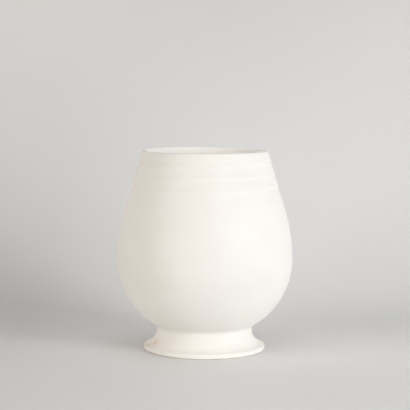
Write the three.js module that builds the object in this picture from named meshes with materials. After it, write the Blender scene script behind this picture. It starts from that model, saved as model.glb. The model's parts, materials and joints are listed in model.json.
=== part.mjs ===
// A pottery vase: a round-bellied body that tapers to an open mouth, with turned rings under the
// lip, on a hollow flared foot. Body and foot are thrown apart and joined with a bed of clay slip.
// Millimetres, +Z up, origin at the centre of the ring that the foot stands on.
import * as THREE from "three";

// Body, on the outside. Heights are above the table.
const HEIGHT = 200;
const BELLY_RADIUS = 88;
const BELLY_HEIGHT = 91.5;
const SHOULDER_CURVE = 159; // radius of the outline's curve above the belly
const TAPER = 16.6; // degrees that the straight upper wall leans in

// Body, wall and floor
const BELLY_WALL = 5.5;
const LIP_WALL = 4.2;
const LIP_OUTER_ROUND = 1.2;
const LIP_INNER_ROUND = 1.5;
const FLOOR_THICKNESS = 7;
const FLOOR_FILLET = 12;

// Turned rings. Under each edge the wall falls upright and then flares out to the next edge, and
// a fine line is cut just under the edge.
const RING_COUNT = 3;
const FIRST_RING = 10.7; // from the lip down to the first edge
const RING_PITCH = 11.7;
const RING_PROUD = 0.25; // how far an edge stands out from the plain wall
const RING_UPRIGHT = 3.6; // height of the upright wall under an edge
const LAST_FLARE = 12; // height in which the lowest ring runs out into the plain wall
const LINE_DROP = 0.2; // from an edge down to its line
const LINE_WIDTH = 0.7;
const LINE_DEPTH = 0.35;

// Foot
const FLARE_CURVE = 15.4; // radius of the hollow curve between neck and slope
const FLARE_SLOPE = 17.5; // degrees below level, from the curve out to the rim
const FOOT_RADIUS = 60.7;
const FOOT_RIM_HEIGHT = 4.6;
const FOOT_RIM_ROUND = 1.3;
const FOOT_BASE_ROUND = 0.6;
const FOOT_WALL = 6;

// Neck, where body and foot meet
const NECK_RADIUS = 47.85;
const NECK_FILLET = 5.7; // from the neck out to the underside of the belly
const SLIP_THICKNESS = 0.8;

// Facets
const SEGMENTS = 64;
const ARC_STEP = 7.5; // degrees on the large curves
const FILLET_STEP = 15; // degrees on fillets
const ROUND_STEP = 30; // degrees on rounded edges
const WALL_STEP = 12; // height between points of the inside above the belly

const { degToRad, radToDeg, lerp, inverseLerp } = THREE.MathUtils;
const point = (radius, height) => new THREE.Vector2(radius, height);

// The point of a circle at an angle in degrees: 0 faces away from the axis, and 90 is up.
function onCircle(centre, radius, angle) {
  const turn = degToRad(angle);
  return point(centre.x + radius * Math.cos(turn), centre.y + radius * Math.sin(turn));
}

// Even points on a circle from one angle to another, with both ends.
function arc(centre, radius, from, to, step = ARC_STEP) {
  const count = Math.max(2, Math.ceil(Math.abs(to - from) / step));
  return Array.from({ length: count + 1 }, (_, i) =>
    onCircle(centre, radius, lerp(from, to, i / count)),
  );
}

// The points that round a corner of the outline. The round keeps within half of each edge.
function roundedCorner(before, corner, after, radius) {
  const back = before.clone().sub(corner);
  const ahead = after.clone().sub(corner);
  const room = Math.min(back.length(), ahead.length()) / 2;
  back.normalize();
  ahead.normalize();
  const halfAngle = Math.acos(back.dot(ahead)) / 2;
  const setback = Math.min(radius / Math.tan(halfAngle), room);
  const fitted = setback * Math.tan(halfAngle);
  const middle = back.clone().add(ahead).normalize();
  const centre = corner.clone().addScaledVector(middle, fitted / Math.sin(halfAngle));
  const first = corner.clone().addScaledVector(back, setback).sub(centre);
  const last = corner.clone().addScaledVector(ahead, setback).sub(centre);
  const from = radToDeg(first.angle());
  const turn = radToDeg(Math.atan2(first.cross(last), first.dot(last)));
  return arc(centre, fitted, from, from + turn, ROUND_STEP);
}

// The foot's hollow curve stands upright at its top, and is tangent to the slope that runs out to
// the rim. That sets the height of its centre, where the foot ends.
const slope = degToRad(FLARE_SLOPE);
const flareX = NECK_RADIUS + FLARE_CURVE;
const flareRise = (FLARE_CURVE - (flareX - FOOT_RADIUS) * Math.sin(slope)) / Math.cos(slope);
const flareCentre = point(flareX, FOOT_RIM_HEIGHT + flareRise);
const footTop = flareCentre.y;
const seatHeight = footTop + SLIP_THICKNESS;
const neckInside = NECK_RADIUS - FOOT_WALL;

// A fillet rises from the neck, and one curve, tangent to it, runs from there to the belly.
const filletCentre = point(NECK_RADIUS + NECK_FILLET, seatHeight);
const drop = BELLY_HEIGHT - filletCentre.y;
const overhang = BELLY_RADIUS - filletCentre.x;
const underCurve = (drop ** 2 + overhang ** 2 - NECK_FILLET ** 2) / (2 * (NECK_FILLET + overhang));
const underCentre = point(BELLY_RADIUS - underCurve, BELLY_HEIGHT);
const underAngle = radToDeg(Math.asin(drop / (underCurve + NECK_FILLET)));
const shoulderCentre = point(BELLY_RADIUS - SHOULDER_CURVE, BELLY_HEIGHT);

// Radius of the plain wall at a height above the belly, or of a surface inset square to it.
function wallRadius(height, inset = 0) {
  const straight = onCircle(shoulderCentre, SHOULDER_CURVE - inset, TAPER);
  if (height > straight.y) {
    return straight.x - (height - straight.y) * Math.tan(degToRad(TAPER));
  }
  const rise = height - shoulderCentre.y;
  return shoulderCentre.x + Math.sqrt((SHOULDER_CURVE - inset) ** 2 - rise ** 2);
}

// One turned ring from its upright part up to its edge, with the fine line cut between them.
function ring(edge) {
  const radius = wallRadius(edge) + RING_PROUD;
  const lineTop = edge - LINE_DROP;
  return [
    point(radius, edge - RING_UPRIGHT),
    point(radius, lineTop - LINE_WIDTH),
    point(radius - LINE_DEPTH, lineTop - LINE_WIDTH / 2),
    point(radius, lineTop),
    point(radius, edge),
  ];
}

function bodyOutside() {
  const firstEdge = HEIGHT - FIRST_RING;
  const lastEdge = firstEdge - (RING_COUNT - 1) * RING_PITCH;
  const runOut = lastEdge - RING_UPRIGHT - LAST_FLARE;
  const shoulder = arc(shoulderCentre, SHOULDER_CURVE, 0, TAPER).slice(1);
  const rings = Array.from({ length: RING_COUNT }, (_, i) => ring(lastEdge + i * RING_PITCH));
  return [
    ...arc(filletCentre, NECK_FILLET, 180, 180 - underAngle, FILLET_STEP),
    ...arc(underCentre, underCurve, -underAngle, 0).slice(1),
    ...shoulder.filter((p) => p.y < runOut),
    point(wallRadius(runOut), runOut),
    ...rings.flat(),
  ];
}

function bodyInside() {
  // The wall thins evenly from the belly up to the lip.
  const rise = HEIGHT - BELLY_HEIGHT;
  const count = Math.ceil(rise / WALL_STEP);
  const upper = Array.from({ length: count }, (_, i) => {
    const height = HEIGHT - (rise * (i + 1)) / count;
    const wall = lerp(BELLY_WALL, LIP_WALL, inverseLerp(BELLY_HEIGHT, HEIGHT, height));
    return point(wallRadius(height, wall), height);
  });

  // A fillet joins the inside of the wall under the belly to the level floor.
  const insideCurve = underCurve - BELLY_WALL;
  const reach = insideCurve - FLOOR_FILLET;
  const floorDrop = BELLY_HEIGHT - (seatHeight + FLOOR_THICKNESS + FLOOR_FILLET);
  const touch = radToDeg(Math.asin(floorDrop / reach));
  const floorCentre = onCircle(underCentre, reach, -touch);
  return [
    ...upper,
    ...arc(underCentre, insideCurve, 0, -touch).slice(1),
    ...arc(floorCentre, FLOOR_FILLET, -touch, -90, FILLET_STEP).slice(1),
  ];
}

function bodyProfile() {
  const outside = bodyOutside();
  const inside = bodyInside();
  const lipOutside = point(wallRadius(HEIGHT), HEIGHT);
  const lipInside = point(lipOutside.x - LIP_WALL, HEIGHT);
  return [
    point(0, seatHeight),
    ...outside,
    ...roundedCorner(outside.at(-1), lipOutside, lipInside, LIP_OUTER_ROUND),
    ...roundedCorner(lipOutside, lipInside, inside[0], LIP_INNER_ROUND),
    ...inside,
    point(0, seatHeight + FLOOR_THICKNESS),
  ];
}

// The part of a falling run of points that is above the table, ended on the table.
function cutAtTable(points) {
  const under = points.findIndex((p) => p.y < 0);
  const last = points[under - 1];
  const onTable = last.clone().lerp(points[under], last.y / (last.y - points[under].y));
  return [...points.slice(0, under), onTable];
}

// The inside of the foot keeps the wall's thickness all the way down to the table. Its straight
// end is long enough to pass through the table, and is cut there.
function footInside() {
  const curve = arc(flareCentre, FLARE_CURVE + FOOT_WALL, 180, 270 - FLARE_SLOPE);
  const straight = point(Math.cos(slope), -Math.sin(slope)).multiplyScalar(FOOT_RADIUS);
  return cutAtTable([...curve, curve.at(-1).clone().add(straight)]);
}

function footProfile() {
  const inside = footInside();
  const baseInside = inside.pop();
  const baseOutside = point(FOOT_RADIUS, 0);
  const rim = point(FOOT_RADIUS, FOOT_RIM_HEIGHT);
  const flare = arc(flareCentre, FLARE_CURVE, 270 - FLARE_SLOPE, 180);
  return [
    ...inside,
    ...roundedCorner(inside.at(-1), baseInside, baseOutside, FOOT_BASE_ROUND),
    ...roundedCorner(baseInside, baseOutside, rim, FOOT_BASE_ROUND),
    ...roundedCorner(baseOutside, rim, flare[0], FOOT_RIM_ROUND),
    ...flare,
    inside[0].clone(),
  ];
}

function slipProfile() {
  return [
    point(neckInside, footTop),
    point(NECK_RADIUS, footTop),
    point(NECK_RADIUS, seatHeight),
    point(neckInside, seatHeight),
    point(neckInside, footTop),
  ];
}

const glaze = new THREE.MeshStandardMaterial({
  color: 0xf2ece0,
  roughness: 0.42,
  metalness: 0,
});
const firedSlip = new THREE.MeshStandardMaterial({
  color: 0xe6dccb,
  roughness: 0.7,
  metalness: 0,
});

function turned(name, profile, material) {
  const mesh = new THREE.Mesh(new THREE.LatheGeometry(profile, SEGMENTS), material);
  mesh.name = name;
  return mesh;
}

// LatheGeometry turns about Y, and the group stands that axis up.
const vase = new THREE.Group();
vase.rotation.x = Math.PI / 2;
vase.add(
  turned("vase_body", bodyProfile(), glaze),
  turned("luting_slip", slipProfile(), firedSlip),
  turned("pedestal_foot", footProfile(), glaze),
);

export default vase;
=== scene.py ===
# %% [markdown]
# # A glazed pottery vase, turned in code
#
# The real vase is earthenware. A potter throws the body and the foot apart on a wheel, trims
# them, joins them with wet slip, and dips the whole in a cream-white glaze. So everything here
# is round, and every piece starts as half an outline that is spun about the upright axis.
#
# The measured model of the vase is loaded first. It gives the true sizes. The pieces made here
# stand in its place and only add what a close look needs: fine curves, soft edges under the
# glaze, the marks of the potter's hand, and the finish.

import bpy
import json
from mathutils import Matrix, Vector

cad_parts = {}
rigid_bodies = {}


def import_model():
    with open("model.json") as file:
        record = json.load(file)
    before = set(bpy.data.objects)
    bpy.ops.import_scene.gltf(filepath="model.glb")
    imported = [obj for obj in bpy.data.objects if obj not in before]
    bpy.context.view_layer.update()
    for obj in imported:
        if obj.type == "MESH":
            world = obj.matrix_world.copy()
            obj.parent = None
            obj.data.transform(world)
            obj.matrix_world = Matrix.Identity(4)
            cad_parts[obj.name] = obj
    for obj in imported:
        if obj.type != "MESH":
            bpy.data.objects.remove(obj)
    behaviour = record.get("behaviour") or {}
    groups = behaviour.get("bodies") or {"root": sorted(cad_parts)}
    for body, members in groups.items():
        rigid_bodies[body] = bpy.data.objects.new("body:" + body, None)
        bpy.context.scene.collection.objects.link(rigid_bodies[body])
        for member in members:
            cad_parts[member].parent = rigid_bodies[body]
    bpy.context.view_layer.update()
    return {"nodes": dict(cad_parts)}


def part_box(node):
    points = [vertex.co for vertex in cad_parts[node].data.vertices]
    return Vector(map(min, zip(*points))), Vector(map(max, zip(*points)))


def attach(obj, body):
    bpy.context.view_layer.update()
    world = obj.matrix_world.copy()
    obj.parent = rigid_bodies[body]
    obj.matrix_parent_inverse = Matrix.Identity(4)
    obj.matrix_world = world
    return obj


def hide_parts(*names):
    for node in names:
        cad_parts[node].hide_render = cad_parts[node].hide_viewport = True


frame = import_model()
print("nodes:", sorted(frame["nodes"]))

# %% Modules for meshes and angles
import json
import math

import bmesh
import bpy
from mathutils import Matrix, Vector

MM = 0.001
SAME_POINT = 1e-7
NEARLY = 1e-6

# %% [markdown]
# ## Sizes that come from the measured model
#
# A copy of a number goes wrong when the model changes, so heights and radii are read from the
# boxes round its three nodes. A box's corner gives a round piece's radius at once.

# %% Read the sizes
body_low, body_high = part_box("vase_body")
foot_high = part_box("pedestal_foot")[1]
slip_low, slip_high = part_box("luting_slip")

height = body_high.z
belly_radius = body_high.x
seat_height = body_low.z
foot_top = foot_high.z
foot_radius = foot_high.x
neck_radius = slip_high.x
print("belly across, mm:", round(2 * belly_radius * 1000, 1))
print("foot across, mm:", round(2 * foot_radius * 1000, 1))

# %% [markdown]
# ## Drawing with arcs
#
# Thrown forms are made of a few round sweeps that run into each other without a kink. Bezier
# curves could draw them, but an arc says its radius outright, and two arcs are smooth where
# they meet if their centres and that point are in line. A point here is a radius and a height.


# %% Points on an arc
def on_circle(centre, radius, angle):
    """The point of a circle at an angle in degrees: 0 faces away from the axis, 90 is up."""
    turn = math.radians(angle)
    return Vector((centre.x + radius * math.cos(turn), centre.y + radius * math.sin(turn)))


def arc(centre, radius, start, end, spacing=1.5 * MM):
    """Points on a circle from one angle to another, about as far apart as the spacing."""
    length = abs(radius * math.radians(end - start))
    count = max(3, math.ceil(length / spacing))
    return [on_circle(centre, radius, start + (end - start) * i / count) for i in range(count + 1)]


print("points in a quarter circle of 10 mm:", len(arc(Vector((0, 0)), 10 * MM, 0, 90)))

# %% [markdown]
# ## Soft corners
#
# Glaze is glass that has run. It leaves no sharp edge, so each corner of an outline is
# replaced by a small arc that touches both sides. A Bevel modifier could round the finished
# mesh, but rounding the outline keeps the mesh light and gives every edge its own radius.


# %% Round the corners of an outline
def rounded(before, corner, after, radius, spacing=0.25 * MM):
    """The arc that rounds a corner. It keeps within half of each side."""
    back = (before - corner).normalized()
    ahead = (after - corner).normalized()
    room = min((before - corner).length, (after - corner).length) / 2
    half = back.angle(ahead) / 2
    setback = min(radius / math.tan(half), room)
    fitted = setback * math.tan(half)
    centre = corner + (back + ahead).normalized() * (fitted / math.sin(half))
    first = corner + back * setback - centre
    last = corner + ahead * setback - centre
    start = math.degrees(math.atan2(first.y, first.x))
    turn = math.degrees(math.atan2(first.cross(last), first.dot(last)))
    return arc(centre, fitted, start, start + turn, spacing)


def softened(corners, radii):
    """An outline with its inner corners rounded, each by its own radius."""
    points = [corners[0]]
    for before, corner, after, radius in zip(corners, corners[1:], corners[2:], radii[1:]):
        points += rounded(before, corner, after, radius)
    return points + [corners[-1]]


square = [Vector((0, 0)), Vector((10, 0)) * MM, Vector((10, 10)) * MM]
print("points in a square corner with a 2 mm radius:", len(rounded(*square, 2 * MM)))

# %% [markdown]
# ## The body's outside
#
# The body is one wide curve under the belly, one flatter curve above it, and a straight taper
# up to the mouth. A small fillet leads out from the neck. Its radius and the neck's place fix
# the curve under the belly, because that curve has to touch the fillet and be upright at the
# belly's widest height.

# %% The curves of the body
BELLY_HEIGHT = 91.5 * MM
SHOULDER_CURVE = 159 * MM
TAPER = 16.6
NECK_FILLET = 5.7 * MM

fillet_centre = Vector((neck_radius + NECK_FILLET, seat_height))
drop = BELLY_HEIGHT - fillet_centre.y
overhang = belly_radius - fillet_centre.x
under_curve = (drop**2 + overhang**2 - NECK_FILLET**2) / (2 * (NECK_FILLET + overhang))
under_centre = Vector((belly_radius - under_curve, BELLY_HEIGHT))
under_angle = math.degrees(math.asin(drop / (under_curve + NECK_FILLET)))
shoulder_centre = Vector((belly_radius - SHOULDER_CURVE, BELLY_HEIGHT))
print("radius of the curve under the belly, mm:", round(under_curve * 1000, 1))


# %% The wall at any height above the belly
def wall_radius(level, inset=0):
    """Radius of the plain wall above the belly, or of a surface that far inside it."""
    straight = on_circle(shoulder_centre, SHOULDER_CURVE - inset, TAPER)
    if level > straight.y:
        return straight.x - (level - straight.y) * math.tan(math.radians(TAPER))
    rise = level - BELLY_HEIGHT
    return shoulder_centre.x + math.sqrt((SHOULDER_CURVE - inset) ** 2 - rise**2)


print("mouth across outside, mm:", round(2 * wall_radius(height) * 1000, 1))

# %% [markdown]
# ## The turned rings
#
# Under the lip the potter held a rib against the wall three times. Each pass left a short
# upright band that ends below in a slope and above in an edge, with a fine line cut just under
# the edge. On the real vase the glaze has filled these in, so the outline is softened: wide
# radii at the edges and slopes, and a small one in the line.

# %% One ring after another
FIRST_RING = 10.7 * MM
RING_PITCH = 11.7 * MM
RING_COUNT = 3
RING_PROUD = 0.25 * MM
RING_UPRIGHT = 3 * MM
LAST_FLARE = 12 * MM
LINE_DROP = 0.25 * MM
LINE_WIDTH = 1.25 * MM
LINE_DEPTH = 0.3 * MM
EDGE_SOFT = 0.5 * MM
SLOPE_SOFT = 4 * MM
LINE_SOFT = 0.2 * MM


def ring(edge):
    """Corners of a ring from its upright band up to its edge, and the softness of each."""
    radius = wall_radius(edge) + RING_PROUD
    top = edge - LINE_DROP
    return [
        (Vector((radius, edge - RING_UPRIGHT)), SLOPE_SOFT),
        (Vector((radius, top - LINE_WIDTH)), LINE_SOFT),
        (Vector((radius - LINE_DEPTH, top - LINE_WIDTH / 2)), LINE_SOFT),
        (Vector((radius, top)), LINE_SOFT),
        (Vector((radius, edge)), EDGE_SOFT),
    ]


edges = [height - FIRST_RING - i * RING_PITCH for i in reversed(range(RING_COUNT))]
run_out = edges[0] - RING_UPRIGHT - LAST_FLARE
print("ring edges, mm above the table:", [round(edge * 1000, 1) for edge in edges])

# %% [markdown]
# ## The lip, the inside and the floor
#
# The wall thins evenly from the belly to the lip. Just inside the mouth the potter pressed a
# slanting band into the rim with a finger, and the clay pushed aside left the wall thicker
# there. So the rim is a narrow top, a bevel, and a thickening that fades out further down.
# Under the belly the inside keeps the same distance from the outside, and a fillet brings it
# round to the level floor.

# %% Outline of the inside, from the lip down
BELLY_WALL = 5.5 * MM
LIP_WALL = 4.2 * MM
FLOOR_THICKNESS = 7 * MM
FLOOR_FILLET = 12 * MM
LIP_OUTER_SOFT = 2.1 * MM
LIP_INNER_SOFT = 2.2 * MM
LIP_TOP = 3.2 * MM
BEVEL = Vector((-3.4, -6.4)) * MM
BEVEL_SOFT = 1.5 * MM
RIM_BLEND = 24 * MM
WALL_STEP = 2 * MM

lip = Vector((wall_radius(height), height))
lip_inside = lip - Vector((LIP_TOP, 0))
bevel_foot = lip_inside + BEVEL


def fade(value, start, end):
    """0 at start, 1 at end, and smooth between."""
    share = max(0, min(1, (value - start) / (end - start)))
    return share * share * (3 - 2 * share)


def inside_points():
    """The inside, from just under the lip to the edge of the level floor."""
    count = math.ceil((bevel_foot.y - BELLY_HEIGHT) / WALL_STEP)
    thicker = wall_radius(bevel_foot.y, LIP_WALL) - bevel_foot.x
    points = []
    for i in range(count + 1):
        share = i / count
        level = bevel_foot.y - (bevel_foot.y - BELLY_HEIGHT) * share
        wall = LIP_WALL + (BELLY_WALL - LIP_WALL) * share
        extra = thicker * fade(level, bevel_foot.y - RIM_BLEND, bevel_foot.y)
        points.append(Vector((wall_radius(level, wall) - extra, level)))
    curve = under_curve - BELLY_WALL
    reach = curve - FLOOR_FILLET
    floor_drop = BELLY_HEIGHT - (seat_height + FLOOR_THICKNESS + FLOOR_FILLET)
    touch = math.degrees(math.asin(floor_drop / reach))
    floor_centre = on_circle(under_centre, reach, -touch)
    points += arc(under_centre, curve, 0, -touch, 2 * MM)[1:]
    points += arc(floor_centre, FLOOR_FILLET, -touch, -90)[1:]
    return points


print("points down the inside:", len(inside_points()))


# %% The body's whole outline, from the middle of its base to the middle of its floor
def level_run(start, end, height_of_run, spacing=1.2 * MM):
    """Points along a level stretch, from one radius to another."""
    count = math.ceil(abs(end - start) / spacing)
    return [Vector((start + (end - start) * i / count, height_of_run)) for i in range(count + 1)]


def body_outline():
    """Half of the body's section."""
    ring_corners = [corner for edge in edges for corner in ring(edge)]
    inside = inside_points()
    start = Vector((wall_radius(run_out), run_out))
    shoulder = [p for p in arc(shoulder_centre, SHOULDER_CURVE, 0, TAPER)[1:] if p.y < run_out]
    corners = [(shoulder[-1], 0), (start, SLOPE_SOFT), *ring_corners]
    corners += [(lip, LIP_OUTER_SOFT), (lip_inside, LIP_INNER_SOFT)]
    corners += [(bevel_foot, BEVEL_SOFT), (inside[1], 0)]
    points = level_run(0, neck_radius, seat_height)
    points += arc(fillet_centre, NECK_FILLET, 180, 180 - under_angle, 0.6 * MM)[1:]
    points += arc(under_centre, under_curve, -under_angle, 0)[1:]
    points += shoulder[:-1]
    points += softened([corner for corner, _ in corners], [soft for _, soft in corners])
    points += inside[2:]
    points += level_run(inside[-1].x, 0, seat_height + FLOOR_THICKNESS)[1:]
    return points


print("points in the body's outline:", len(body_outline()))

# %% [markdown]
# ## Filling in long straight stretches
#
# The potter's marks that come later move single points, so no stretch of the outline may be
# left without points. This adds them evenly wherever two neighbours are too far apart.


# %% Add points where they are sparse
BODY_SPACING = 2 * MM


def filled(points, spacing):
    """The outline with extra points, so that neighbours are no further apart than spacing."""
    result = [points[0]]
    for before, after in zip(points, points[1:]):
        gap = (after - before).length
        if gap < SAME_POINT:
            continue
        count = math.ceil(gap / spacing)
        result += [before.lerp(after, i / count) for i in range(1, count + 1)]
    return result


body_points = filled(body_outline(), BODY_SPACING)
print("points in the body's outline, filled in:", len(body_points))

# %% [markdown]
# ## Where the glaze is thin
#
# Molten glaze draws back from an edge and pools in a hollow. How sharply the outline turns
# says which: a turn one way is an edge, the other way a hollow. The turn is measured over a
# few millimetres and kept as a number on every vertex, which the glaze material reads later.
# Painting it by hand would work too, but then it wouldn't follow a change of shape. Where two
# pieces are joined the glaze runs straight over the seam, so the turn fades out there.

# %% Measure how sharply the outline turns
GLAZE_REACH = 1.3 * MM
FULL_TURN = math.radians(70)


def at_distance(points, index, distance, step):
    """The point of the outline that lies a distance along it, ahead (1) or behind (-1)."""
    here = points[index]
    left = distance
    while 0 <= index + step < len(points):
        index += step
        gap = (points[index] - here).length
        if gap >= left:
            return here.lerp(points[index], left / gap)
        left -= gap
        here = points[index]
    return here


def edge_turns(points, joint):
    """For each point, from 1 on a sharp edge, through 0, to -1 in a sharp hollow."""
    turns = []
    for index, point in enumerate(points):
        back = point - at_distance(points, index, GLAZE_REACH, -1)
        ahead = at_distance(points, index, GLAZE_REACH, 1) - point
        turn = 0
        if back.length > SAME_POINT and ahead.length > SAME_POINT:
            turn = math.atan2(back.cross(ahead), back.dot(ahead))
        from_joint = abs(point.y - joint)
        turn *= fade(from_joint, GLAZE_REACH, 2 * GLAZE_REACH)
        turns.append(max(-1, min(1, turn / FULL_TURN)))
    return turns


body_turns = edge_turns(body_points, seat_height)
print("sharpest edge and hollow:", round(max(body_turns), 2), round(min(body_turns), 2))

# %% [markdown]
# ## The potter's hand
#
# A wheel makes a pot nearly round, and hands leave the rest: the wall is a tenth or two of a
# millimetre off true, the inside keeps the spiral that the fingers drew, and the base keeps
# the finer spiral of the trimming tool. These are real shapes, so they are in the mesh. Noise
# could give them too, but a few sine waves say how many swells go round and how tall each is.
# The wobble is the same for all three pieces, so that they still meet.

# %% Marks of throwing and trimming
WOBBLE = 0.16 * MM
SPIRAL_PITCH = 8.5 * MM
SPIRAL_DEPTH = 0.28 * MM
TRIM_PITCH = 2.6 * MM
TRIM_DEPTH = 0.12 * MM


def wobble(angle, level):
    """How far the wall is off true at an angle and a height."""
    # Each wave has its share, its number of swells, its start and its drift as it goes up.
    up = level / height
    oval = 0.6 * math.sin(2 * angle + 0.8 + 1.1 * up)
    swell = 0.3 * math.sin(3 * angle - 1.9 - 2.3 * up)
    ripple = 0.1 * math.sin(5 * angle + 4.1 * up)
    return WOBBLE * up * (oval + swell + ripple)


def spiral(along, angle, pitch):
    """A soft ridge that climbs by one pitch a turn, from -1 to 1."""
    # A slower second wave makes the ridge fainter in some places, as fingers do.
    wave = math.sin(2 * math.pi * along / pitch - angle)
    return wave * (0.75 + 0.25 * math.sin(2 * math.pi * along / (3.7 * pitch) + 2 * angle))


print("wobble at the belly, mm:", round(1000 * wobble(0.5, BELLY_HEIGHT), 3))

# %% [markdown]
# ## Spinning an outline
#
# Blender's Screw modifier would turn an outline into a lathe form too. The same thing in
# bmesh gives the finished vertices at once, and they carry along the glaze number that was
# put on the outline. Afterwards the seam and the points on the axis are merged, so that the
# piece is one closed skin.

# %% Spin, merge and mark by hand
SEGMENTS = 192
SHARP_ANGLE = 50


def spun(name, outline, joint, by_hand):
    """A closed piece turned from an outline. by_hand moves each of its points."""
    bm = bmesh.new()
    layer = bm.verts.layers.float.new("glaze_edge")
    row = []
    for point, turn in zip(outline, edge_turns(outline, joint)):
        vert = bm.verts.new((point.x, 0, point.y))
        vert[layer] = turn
        row.append(vert)
    pairs = list(zip(row, row[1:]))
    if (outline[0] - outline[-1]).length > SAME_POINT and outline[-1].x > SAME_POINT:
        pairs.append((row[-1], row[0]))
    lines = [bm.edges.new(pair) for pair in pairs]
    bmesh.ops.spin(
        bm,
        geom=row + lines,
        axis=(0, 0, 1),
        cent=(0, 0, 0),
        angle=2 * math.pi,
        steps=SEGMENTS,
        use_merge=True,
    )
    bmesh.ops.remove_doubles(bm, verts=bm.verts, dist=NEARLY)
    bmesh.ops.recalc_face_normals(bm, faces=bm.faces)
    for vert in bm.verts:
        vert.co = by_hand(vert.co)
    open_edges = sum(1 for edge in bm.edges if not edge.is_manifold)
    mesh = bpy.data.meshes.new(name)
    bm.to_mesh(mesh)
    bm.free()
    mesh.shade_smooth()
    mesh.set_sharp_from_angle(angle=math.radians(SHARP_ANGLE))
    piece = bpy.data.objects.new(name, mesh)
    bpy.context.scene.collection.objects.link(piece)
    print(name, "faces:", len(mesh.polygons), "open edges:", open_edges)
    return piece


# %% [markdown]
# ## The body, marked by hand
#
# The outside of the body was smoothed, so it only has the wobble. The inside of the wall and
# the floor have the throwing spiral, which stops short of the smoothed rim and of the middle.
# The base has the trimming spiral, where the foot leaves it open to view. The lip was cut with
# a needle held by hand: it leans a little, and dips and rises twice on its way round.

# %% Move each point of the body
FOOT_WALL = 6 * MM
BASE_EDGE = 2 * MM
CENTRE_SMOOTH = 4 * MM
RIM_SMOOTH = 4 * MM
SPIRAL_FULL = 16 * MM
LIP_REACH = 30 * MM
LIP_LEAN = 0.003
LIP_TWIST = 0.35 * MM
RING_ROOM = 0.3 * MM

neck_inside = neck_radius - FOOT_WALL
floor_edge = inside_points()[-1].x


def body_by_hand(co):
    """The body's point after throwing and trimming."""
    radius = math.hypot(co.x, co.y)
    if radius < NEARLY:
        return co
    angle = math.atan2(co.y, co.x)
    level = co.z
    moved_in = 0
    lift = 0
    if level < seat_height + NEARLY:
        shown = fade(radius, neck_inside - BASE_EDGE, neck_inside - 2 * BASE_EDGE)
        lift = TRIM_DEPTH * shown * (1 + spiral(radius, angle, TRIM_PITCH))
    elif level < seat_height + FLOOR_THICKNESS + NEARLY and radius < floor_edge:
        shown = fade(radius, 0, CENTRE_SMOOTH)
        lift = SPIRAL_DEPTH * shown * spiral(radius, angle, SPIRAL_PITCH)
    elif radius < wall_middle(level):
        shown = fade(level, height - RIM_SMOOTH, height - SPIRAL_FULL)
        moved_in = SPIRAL_DEPTH * shown * spiral(level, angle, SPIRAL_PITCH)
    grown = radius + wobble(angle, level) - moved_in
    uneven = LIP_LEAN * grown * math.cos(angle) + LIP_TWIST * math.sin(2 * angle)
    lift -= uneven * fade(level, height - LIP_REACH, height)
    return Vector((grown * math.cos(angle), grown * math.sin(angle), level + lift))


def wall_middle(level):
    """A radius inside the clay of the wall, which tells its outside from its inside."""
    if level > BELLY_HEIGHT:
        return wall_radius(level, LIP_WALL / 2) + RING_ROOM
    fall = min(BELLY_HEIGHT - level, under_curve - BELLY_WALL / 2)
    return under_centre.x + math.sqrt((under_curve - BELLY_WALL / 2) ** 2 - fall**2)


glazed_body = spun("glazed_body", body_points, seat_height, body_by_hand)

# %% Put the body in the model
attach(glazed_body, "root")
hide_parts("vase_body")
print("in place of vase_body:", glazed_body.name)

# %% [markdown]
# ## The foot
#
# The foot is a hollow flare. Its outside stands upright at the neck, turns out in one tight
# curve, and runs in a shallow slope to a rounded rim. The inside keeps the same wall all the
# way down, so the foot stands on a ring and not on a disc. The section is a closed loop, which
# spins into a ring with no need for a Boolean to hollow it.

# %% Curves of the foot
FLARE_CURVE = 15.4 * MM
FLARE_SLOPE = 17.5
FOOT_RIM_HEIGHT = 4.6 * MM
FOOT_RIM_SOFT = 1.3 * MM
FOOT_BASE_SOFT = 1.5 * MM
ABOVE_TABLE = 0.3 * MM
FOOT_SPACING = 1.5 * MM

flare_centre = Vector((neck_radius + FLARE_CURVE, foot_top))
slope = math.radians(FLARE_SLOPE)


def foot_outline():
    """The foot's section as a loop, from the inside of its top, down, out and up again."""
    down_slope = Vector((math.cos(slope), -math.sin(slope)))
    inner = arc(flare_centre, FLARE_CURVE + FOOT_WALL, 180, 270 - FLARE_SLOPE)
    inner = [p for p in inner if p.y > ABOVE_TABLE]
    last = inner[-1]
    inner.append(last + down_slope * (last.y / math.sin(slope)))
    base_inside = Vector((inner[-1].x, 0))
    base_outside = Vector((foot_radius, 0))
    rim = Vector((foot_radius, FOOT_RIM_HEIGHT))
    outer = arc(flare_centre, FLARE_CURVE, 270 - FLARE_SLOPE, 180, 1 * MM)
    corners = [inner[-2], base_inside, base_outside, rim, outer[0]]
    soft = [0, FOOT_BASE_SOFT, FOOT_BASE_SOFT, FOOT_RIM_SOFT, 0]
    top = level_run(neck_radius, neck_inside, foot_top, 2 * MM)
    return inner[:-2] + softened(corners, soft) + outer[1:] + top[1:-1]


def foot_by_hand(co):
    """The foot's point, as far off true as the body's."""
    radius = math.hypot(co.x, co.y)
    angle = math.atan2(co.y, co.x)
    grown = radius + wobble(angle, co.z)
    return Vector((grown * math.cos(angle), grown * math.sin(angle), co.z))


foot_points = filled(foot_outline(), FOOT_SPACING)
glazed_foot = spun("glazed_foot", foot_points, foot_top, foot_by_hand)
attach(glazed_foot, "root")
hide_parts("pedestal_foot")

# %% [markdown]
# ## The slip between body and foot
#
# Wet slip holds the two parts together in the kiln. Outside, the potter wiped it flush and the
# glaze covers it. Inside the hollow foot it was left as it squeezed out, in a small uneven
# bead that only shows when the vase is turned over.

# %% A ring of slip with a bead inside
BEAD = 1.1 * MM
BEAD_START = 0.2 * MM
BEAD_REACH = 1.5 * MM
BEAD_SPACING = 0.15 * MM


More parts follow.
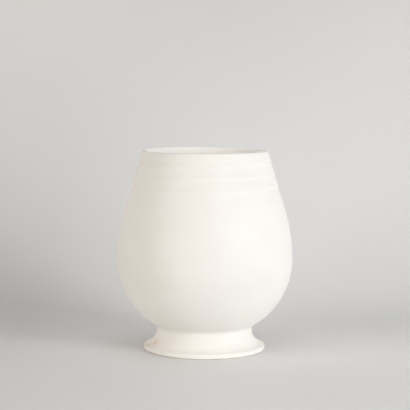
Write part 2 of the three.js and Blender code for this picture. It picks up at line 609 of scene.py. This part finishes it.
def slip_outline():
    """The slip's section as a loop: flush outside, and a round bead inside."""
    low, high = slip_low.z, slip_high.z
    middle = Vector((neck_inside + BEAD_START, (low + high) / 2))
    bead = arc(middle, (high - low) / 2, 90, 270, BEAD_SPACING)
    outside = [Vector((neck_radius, low)), Vector((neck_radius, middle.y))]
    outside.append(Vector((neck_radius, high)))
    return filled(bead + outside, FOOT_SPACING)


def slip_by_hand(co):
    """The slip's point: its inner bead is pushed in, more here and less there."""
    radius = math.hypot(co.x, co.y)
    angle = math.atan2(co.y, co.x)
    inner = fade(radius, neck_inside + BEAD_REACH, neck_inside)
    uneven = 0.55 + 0.25 * math.sin(7 * angle) + 0.2 * math.sin(11 * angle + 1.3)
    grown = radius + wobble(angle, co.z) - BEAD * inner * uneven
    return Vector((grown * math.cos(angle), grown * math.sin(angle), co.z))


slip_seam = spun("slip_seam", slip_outline(), foot_top, slip_by_hand)
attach(slip_seam, "root")
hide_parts("luting_slip")

# %% [markdown]
# ## Building a material in nodes
#
# A material is a small network. These helpers add a node and wire it, so that each material
# below reads as a list of what it is made of.


# %% Helpers for node materials
def new_material(name):
    """An empty material with its surface shader, as (material, tree, shader)."""
    material = bpy.data.materials.new(name)
    material.use_nodes = True
    tree = material.node_tree
    tree.nodes.clear()
    shader = tree.nodes.new("ShaderNodeBsdfPrincipled")
    output = tree.nodes.new("ShaderNodeOutputMaterial")
    tree.links.new(shader.outputs["BSDF"], output.inputs["Surface"])
    return material, tree, shader


def add(tree, kind, inputs=None, **settings):
    """A new node. Its inputs take a plain value or another node's socket."""
    node = tree.nodes.new(kind)
    for key, value in settings.items():
        setattr(node, key, value)
    for key, value in (inputs or {}).items():
        if isinstance(value, bpy.types.NodeSocket):
            tree.links.new(value, node.inputs[key])
        else:
            node.inputs[key].default_value = value
    return node


def remap(tree, value, low, high, to_low=0.0, to_high=1.0):
    """A value's range turned into another, and clamped."""
    inputs = {0: value, 1: low, 2: high, 3: to_low, 4: to_high}
    return add(tree, "ShaderNodeMapRange", inputs, clamp=True).outputs[0]


def mix_colour(tree, share, first, second):
    """One colour laid over another by a share from 0 to 1."""
    inputs = {0: share, 6: first, 7: second}
    return add(tree, "ShaderNodeMix", inputs, data_type="RGBA").outputs[2]


def combined(tree, operation, first, second):
    """Two numbers put together, by MULTIPLY, ADD or MAXIMUM."""
    return add(tree, "ShaderNodeMath", {0: first, 1: second}, operation=operation).outputs[0]


def noise(tree, place, scale, detail=3):
    """Cloudy noise, from 0 to 1, at so many features a metre."""
    inputs = {"Vector": place, "Scale": scale, "Detail": detail, "Roughness": 0.5}
    return add(tree, "ShaderNodeTexNoise", inputs).outputs["Fac"]


# %% Helpers for places on a turned piece
def place_on(tree):
    """The place of a shaded point, in the piece's own metres."""
    return add(tree, "ShaderNodeTexCoord").outputs["Object"]


def level_of(tree, place):
    """Its height above the table."""
    return add(tree, "ShaderNodeSeparateXYZ", {0: place}).outputs["Z"]


def radius_of(tree, place):
    """Its distance from the upright axis."""
    flat = add(tree, "ShaderNodeVectorMath", {0: place, 1: (1, 1, 0)}, operation="MULTIPLY")
    length = add(tree, "ShaderNodeVectorMath", {0: flat.outputs[0]}, operation="LENGTH")
    return length.outputs["Value"]


# %% [markdown]
# ## The glaze
#
# The glaze is cream-white and satin: light slides over it in a broad soft sheen, with no sharp
# reflection. It is a little warmer and thinner on the edges, where the clay shows through, and
# a little paler where it has pooled. Faint clouds keep it from looking like plastic, and very
# fine dimples, as in an egg's shell, spread the sheen. The dimples are too fine to be in the
# mesh, so they are a bump.

# %% Colours of glaze and clay, in linear light
GLAZE = (0.838, 0.824, 0.792, 1)
GLAZE_POOLED = (0.885, 0.872, 0.84, 1)
GLAZE_THIN = (0.835, 0.81, 0.765, 1)
# Paler than the glaze and used only as painted light: inside the mouth, under the belly and low on
# the foot's flare.
GLAZE_PAINTED_LIGHT = (0.96, 0.942, 0.905, 1)
GLAZE_CLOUD = (0.82, 0.802, 0.766, 1)
CLAY = (0.66, 0.54, 0.40, 1)
STAIN = (0.68, 0.45, 0.21, 1)
SLIP = (0.70, 0.61, 0.49, 1)
print("glaze reflects of white, percent:", round(100 * GLAZE[1]))


# %% The glaze, shared by all three pieces
CLOUDS = 28
EDGE_BREAKS = 160
SHEEN_PATCHES = 70
SATIN = (0.58, 0.68)
DIMPLES = 700
DIMPLE_DEPTH = 0.05 * MM
DIMPLE_STRENGTH = 0.5
GLASS_IOR = 1.5


def glaze_colour(tree, place):
    """The glaze's colour: clouds, paler pools and warmer edges."""
    clouds = remap(tree, noise(tree, place, CLOUDS, 4), 0.35, 0.7)
    colour = mix_colour(tree, clouds, GLAZE, GLAZE_CLOUD)
    edge = add(tree, "ShaderNodeAttribute", attribute_name="glaze_edge").outputs["Fac"]
    edge = combined(tree, "MULTIPLY", edge, noise(tree, place, EDGE_BREAKS, 2))
    colour = mix_colour(tree, remap(tree, edge, 0.1, 0.65), colour, GLAZE_THIN)
    return mix_colour(tree, remap(tree, edge, -0.05, -0.4), colour, GLAZE_POOLED)


def glaze_surface(tree, shader, place):
    """The glaze's sheen and its fine dimples."""
    patches = noise(tree, place, SHEEN_PATCHES)
    tree.links.new(remap(tree, patches, 0.3, 0.7, *SATIN), shader.inputs["Roughness"])
    dimples = noise(tree, place, DIMPLES, 2)
    inputs = {"Height": dimples, "Strength": DIMPLE_STRENGTH, "Distance": DIMPLE_DEPTH}
    bump = add(tree, "ShaderNodeBump", inputs)
    tree.links.new(bump.outputs["Normal"], shader.inputs["Normal"])
    shader.inputs["IOR"].default_value = GLASS_IOR


# %% [markdown]
# ## The body's glaze, with painted light
#
# Two places of the body are painted paler than its glaze, so they are palest: the inside of the
# mouth, and the underside of the belly down to the neck, where shade falls. This is painted light.
# Weights painted by hand could say so, but ranges of height and radius need no painting, and
# follow the sizes.

# %% Painted light inside the mouth and under the belly above the neck
# Where the body is painted paler as painted light: inside the mouth, and under the belly above the
# neck, where shade falls.
INSIDE_FROM = 1 * MM
INSIDE_FULL = 2.5 * MM
UNDER_LIGHT_FROM = 75 * MM
UNDER_LIGHT_FULL = 35 * MM
UNDER_LIGHT_SHARE = 0.4
NECK_CLEAR = 24 * MM
NECK_END = 32 * MM

body_glaze, tree, shader = new_material("body_glaze")
place = place_on(tree)
level = level_of(tree, place)
inside = remap(tree, radius_of(tree, place), lip.x - INSIDE_FROM, lip.x - INSIDE_FULL)
upper = remap(tree, level, BELLY_HEIGHT, height - RIM_BLEND)
inside = combined(tree, "MULTIPLY", inside, upper)
# Painted light: the inside of the mouth is painted paler than the glaze.
colour = mix_colour(tree, inside, glaze_colour(tree, place), GLAZE_PAINTED_LIGHT)
# Painted light: the underside of the belly is painted paler, which lifts the shade there.
under_belly_light = remap(tree, level, UNDER_LIGHT_FROM, UNDER_LIGHT_FULL, 0, UNDER_LIGHT_SHARE)
under_belly_light = combined(tree, "MULTIPLY", under_belly_light, remap(tree, level, NECK_CLEAR, NECK_END))
colour = mix_colour(tree, under_belly_light, colour, GLAZE_PAINTED_LIGHT)
tree.links.new(colour, shader.inputs["Base Color"])
glaze_surface(tree, shader, place)
glazed_body.data.materials.append(body_glaze)
print("nodes in the body's glaze:", len(tree.nodes))

# %% [markdown]
# ## The foot's finish
#
# The foot has the same glaze. Low on the flare it is painted paler than the glaze is: painted
# light, where the flare lies in the belly's shade. The potter wiped the glaze off the ring that
# the vase stands on, or the vase would have fused to the kiln shelf, so the bare clay shows there.
# On the left of the flare are two faint rust-coloured stains with a wide tint round them, where
# iron in the clay has bled through. Each is a ball of colour that the surface cuts, and noise
# breaks it up, so nothing has to be painted.

# %% Painted light on the flare, bare ring and stains
# Heights over which the flare is painted paler, as painted light in the belly's shade, and how
# much.
FLARE_LIGHT_FROM = 15 * MM
FLARE_LIGHT_FULL = 8 * MM
FLARE_LIGHT_SHARE = 0.6
BARE_HEIGHT = 0.35 * MM
BARE_ABOVE = 0.3 * MM
BARE_BELOW = 0.1 * MM
BARE_WAVES = 55
BARE_WAVE = 0.2 * MM
STAIN_BREAKS = 260

# The middle of each, how far it reaches, and its strength. The last is the tint.
STAINS = [
    (Vector((-49, -19.5, 8.8)) * MM, 5.5 * MM, 0.5),
    (Vector((-56.5, -14.7, 5.3)) * MM, 4.5 * MM, 0.55),
    (Vector((-51, -20, 7.5)) * MM, 15 * MM, 0.2),
]

foot_glaze, tree, shader = new_material("foot_glaze")
place = place_on(tree)
level = level_of(tree, place)
# Painted light: low on the flare, in the belly's shade, the glaze is painted paler.
flare_light = remap(tree, level, FLARE_LIGHT_FROM, FLARE_LIGHT_FULL, 0, FLARE_LIGHT_SHARE)
colour = mix_colour(tree, flare_light, glaze_colour(tree, place), GLAZE_PAINTED_LIGHT)
for centre, reach, strength in STAINS:
    away = add(tree, "ShaderNodeVectorMath", {0: place, 1: centre}, operation="DISTANCE")
    blot = remap(tree, away.outputs["Value"], reach, 0, 0, strength)
    ragged = remap(tree, noise(tree, place, STAIN_BREAKS), 0.25, 0.55)
    colour = mix_colour(tree, combined(tree, "MULTIPLY", blot, ragged), colour, STAIN)
uneven = remap(tree, noise(tree, place, BARE_WAVES), 0.3, 0.7, -BARE_WAVE, BARE_WAVE)
level = combined(tree, "ADD", level, uneven)
bare = remap(tree, level, BARE_HEIGHT + BARE_ABOVE, BARE_HEIGHT - BARE_BELOW)
tree.links.new(mix_colour(tree, bare, colour, CLAY), shader.inputs["Base Color"])
glaze_surface(tree, shader, place)
glazed_foot.data.materials.append(foot_glaze)
print("nodes in the foot's glaze:", len(tree.nodes))

# %% [markdown]
# ## The slip's finish
#
# Outside, the seam lies under the glaze and has to vanish. Inside it is bare: matt, a little
# darker and grainy. The distance from the axis tells the two apart.

# %% Glazed outside, bare inside
GRAIN = 900
GLAZED_FROM = 2 * MM
GLAZED_FULL = 1 * MM

fired_slip, tree, shader = new_material("fired_slip")
place = place_on(tree)
radius = radius_of(tree, place)
glazed = remap(tree, radius, neck_radius - GLAZED_FROM, neck_radius - GLAZED_FULL)
grain = remap(tree, noise(tree, place, GRAIN), 0.3, 0.7)
bare = mix_colour(tree, grain, SLIP, CLAY)
colour = mix_colour(tree, glazed, bare, glaze_colour(tree, place))
tree.links.new(colour, shader.inputs["Base Color"])
glaze_surface(tree, shader, place)
slip_seam.data.materials.append(fired_slip)
print("nodes in the slip:", len(tree.nodes))

# %% [markdown]
# ## The camera
#
# The photograph was taken from a little above the vase's rim with a long lens, which keeps the
# sides of the foot from spreading. The place and lens were found by matching the vase's
# outline. The picture is also turned by a third of a degree, as a hand-set camera is.

# %% Place the camera
SENSOR = 36
IMAGE_SIZE = 410
FOCAL_PIXELS = 1402
CAMERA_PLACE = Vector((-0.0001, -1.4, 0.2754))
CAMERA_TILT = 5.315
CAMERA_ROLL = 0.35

camera_data = bpy.data.cameras.new("camera")
camera_data.sensor_width = SENSOR
camera_data.lens = FOCAL_PIXELS / IMAGE_SIZE * SENSOR
camera = bpy.data.objects.new("camera", camera_data)
tilt = Matrix.Rotation(math.radians(90 - CAMERA_TILT), 4, "X")
roll = Matrix.Rotation(math.radians(CAMERA_ROLL), 4, "Z")
camera.matrix_world = Matrix.Translation(CAMERA_PLACE) @ tilt @ roll
bpy.context.scene.collection.objects.link(camera)
bpy.context.scene.camera = camera
print("lens in mm:", round(camera_data.lens, 1))

# %% [markdown]
# ## The paper sweep
#
# In a studio, pottery stands on a roll of paper that curves up behind it, so that there is no
# corner. The sweep is one strip: floor, bend and wall, with smooth shading. A plane for each
# would need a soft seam between them.

# %% Floor, bend and wall in one strip
SWEEP_WIDTH = 6
SWEEP_FRONT = -2.5
BEND_START = 0.2
BEND_RADIUS = 0.35
BEND_STEPS = 32
SWEEP_TOP = 3


def sweep_line():
    """The strip seen from the side, as (depth, height) from front to top."""
    line = [(SWEEP_FRONT, 0.0), (BEND_START * 0.5, 0.0)]
    for i in range(BEND_STEPS + 1):
        turn = math.radians(90 * i / BEND_STEPS)
        depth = BEND_START + BEND_RADIUS * math.sin(turn)
        line.append((depth, BEND_RADIUS * (1 - math.cos(turn))))
    line.append((BEND_START + BEND_RADIUS, SWEEP_TOP))
    return line


line = sweep_line()
verts = [(side * SWEEP_WIDTH / 2, depth, up) for depth, up in line for side in (-1, 1)]
faces = [(2 * i, 2 * i + 1, 2 * i + 3, 2 * i + 2) for i in range(len(line) - 1)]
sweep_mesh = bpy.data.meshes.new("paper_sweep")
sweep_mesh.from_pydata(verts, [], faces)
sweep_mesh.shade_smooth()
paper_sweep = bpy.data.objects.new("paper_sweep", sweep_mesh)
bpy.context.scene.collection.objects.link(paper_sweep)
print("strips in the sweep:", len(faces))

# %% [markdown]
# ## The paper
#
# The paper is pale grey, with painted shade on it: it is painted darker on the left, most of all
# behind the vase, where its shadow falls back and the paper bends up, and darker up the wall,
# where less light reaches. Three pairs of tones, each from left to right, say so for the paper in
# front, behind, and up the wall, and the tones run into each other. Seen from its back the paper
# is clear, so that the vase can be looked at from every side and isn't hidden by the wall.

# %% Tones of the paper and its painted shade, left and right
# Tones of the paper with painted shade in them: darker on the left and up the wall.
PAPER_NEAR_PAINTED_SHADE = (0.715, 0.79)
PAPER_FAR_PAINTED_SHADE = (0.63, 0.80)
PAPER_WALL_PAINTED_SHADE = (0.66, 0.62)
PAPER_FIBRE = (0.6, 0.6, 0.6, 1)
SIDEWAYS = (-0.2, 0.02)
BACKWARDS = (-0.12, 0.08)
UPWARDS = (0, 0.37)
FIBRES = 12
FIBRE_SHARE = 0.05
PAPER_ROUGHNESS = 0.55

paper, tree, shader = new_material("paper")
place = place_on(tree)
axes = add(tree, "ShaderNodeSeparateXYZ", {0: place}).outputs
right = remap(tree, axes["X"], *SIDEWAYS)
# Painted shade: these tones darken the paper on the left, behind the vase and up the wall.
near_paper_and_shade = remap(tree, right, 0, 1, *PAPER_NEAR_PAINTED_SHADE)
far_paper_and_shade = remap(tree, right, 0, 1, *PAPER_FAR_PAINTED_SHADE)
wall_paper_and_shade = remap(tree, right, 0, 1, *PAPER_WALL_PAINTED_SHADE)
paper_and_shade = mix_colour(tree, remap(tree, axes["Y"], *BACKWARDS), near_paper_and_shade, far_paper_and_shade)
paper_and_shade = mix_colour(tree, remap(tree, axes["Z"], *UPWARDS), paper_and_shade, wall_paper_and_shade)
fibre = remap(tree, noise(tree, place, FIBRES), 0.3, 0.7, 0, FIBRE_SHARE)
tree.links.new(mix_colour(tree, fibre, paper_and_shade, PAPER_FIBRE), shader.inputs["Base Color"])
shader.inputs["Roughness"].default_value = PAPER_ROUGHNESS

# %% Clear from behind
clear = add(tree, "ShaderNodeBsdfTransparent").outputs["BSDF"]
behind = add(tree, "ShaderNodeNewGeometry").outputs["Backfacing"]
one_sided = add(tree, "ShaderNodeMixShader", {0: behind, 1: shader.outputs["BSDF"], 2: clear})
output = tree.nodes["Material Output"]
tree.links.new(one_sided.outputs["Shader"], output.inputs["Surface"])
sweep_mesh.materials.append(paper)
print("nodes in the paper:", len(tree.nodes))

# %% [markdown]
# ## Light
#
# The light is soft and comes in low from the front, as from windows. Two softboxes to the right
# of the camera, one over the other, are the main light, and their width sets how soft the
# shadow is that falls back to the left. Two wide warm ones on the left keep that side from
# going dark. One at the far right lifts that edge, and one overhead lifts the floor and the
# inside of the mouth. Their strengths were found by rendering each lamp alone and adding the
# pictures up, which works because light adds.

# %% Six softboxes
LAMP_DISTANCE = 1.8
WHITE = (1, 1, 1)
WARM_WHITE = (1, 0.927, 0.85)


def softbox(name, azimuth, elevation, size, power, colour=WHITE):
    """An area lamp that faces the vase. Azimuth 0 is the camera's side, 90 the right."""
    data = bpy.data.lights.new(name, "AREA")
    data.shape = "RECTANGLE"
    data.size = size[0]
    data.size_y = size[1]
    data.energy = power
    data.color = colour
    lamp = bpy.data.objects.new(name, data)
    turn = math.radians(azimuth)
    up = math.radians(elevation)
    out = Vector((math.sin(turn) * math.cos(up), -math.cos(turn) * math.cos(up), math.sin(up)))
    lamp.location = Vector((0, 0, BELLY_HEIGHT)) + out * LAMP_DISTANCE
    lamp.rotation_mode = "QUATERNION"
    lamp.rotation_quaternion = out.to_track_quat("Z", "Y")
    lamp.visible_camera = False
    bpy.context.scene.collection.objects.link(lamp)


softbox("key_softbox", 50, 17, (0.55, 0.34), 12.9)
softbox("low_softbox", 44, 5, (0.55, 0.34), 8.6)
softbox("fill_softbox", -52, 11, (1.3, 0.6), 13.1, WARM_WHITE)
softbox("high_fill_softbox", -55, 35, (0.8, 0.6), 3, WARM_WHITE)
softbox("side_softbox", 95, 12, (1.0, 0.6), 2.7)
softbox("top_softbox", 0, 80, (1.3, 1.3), 8.4)
print("power of all lamps, W:", round(sum(light.energy for light in bpy.data.lights), 1))

# %% [markdown]
# ## The room
#
# The room gives almost no light of its own, or the vase would look flat. It is pale only for
# rays that come straight from the camera or off a shiny surface or through glass, so that what
# lies beyond the paper isn't black.

# %% A dim room that looks pale
ROOM = 0.01
ROOM_SEEN = 0.45

world = bpy.data.worlds.new("room")
world.use_nodes = True
tree = world.node_tree
path = add(tree, "ShaderNodeLightPath").outputs
seen = combined(tree, "MAXIMUM", path["Is Camera Ray"], path["Is Glossy Ray"])
seen = combined(tree, "MAXIMUM", seen, path["Is Transmission Ray"])
background = tree.nodes["Background"]
background.inputs["Color"].default_value = (1, 1, 1, 1)
tree.links.new(remap(tree, seen, 0, 1, ROOM, ROOM_SEEN), background.inputs["Strength"])
bpy.context.scene.world = world
print("nodes in the room:", len(tree.nodes))

# %% [markdown]
# ## Finish
#
# The Standard view transform shows colours as they are written.

# %% View settings
bpy.context.scene.view_settings.view_transform = "Standard"
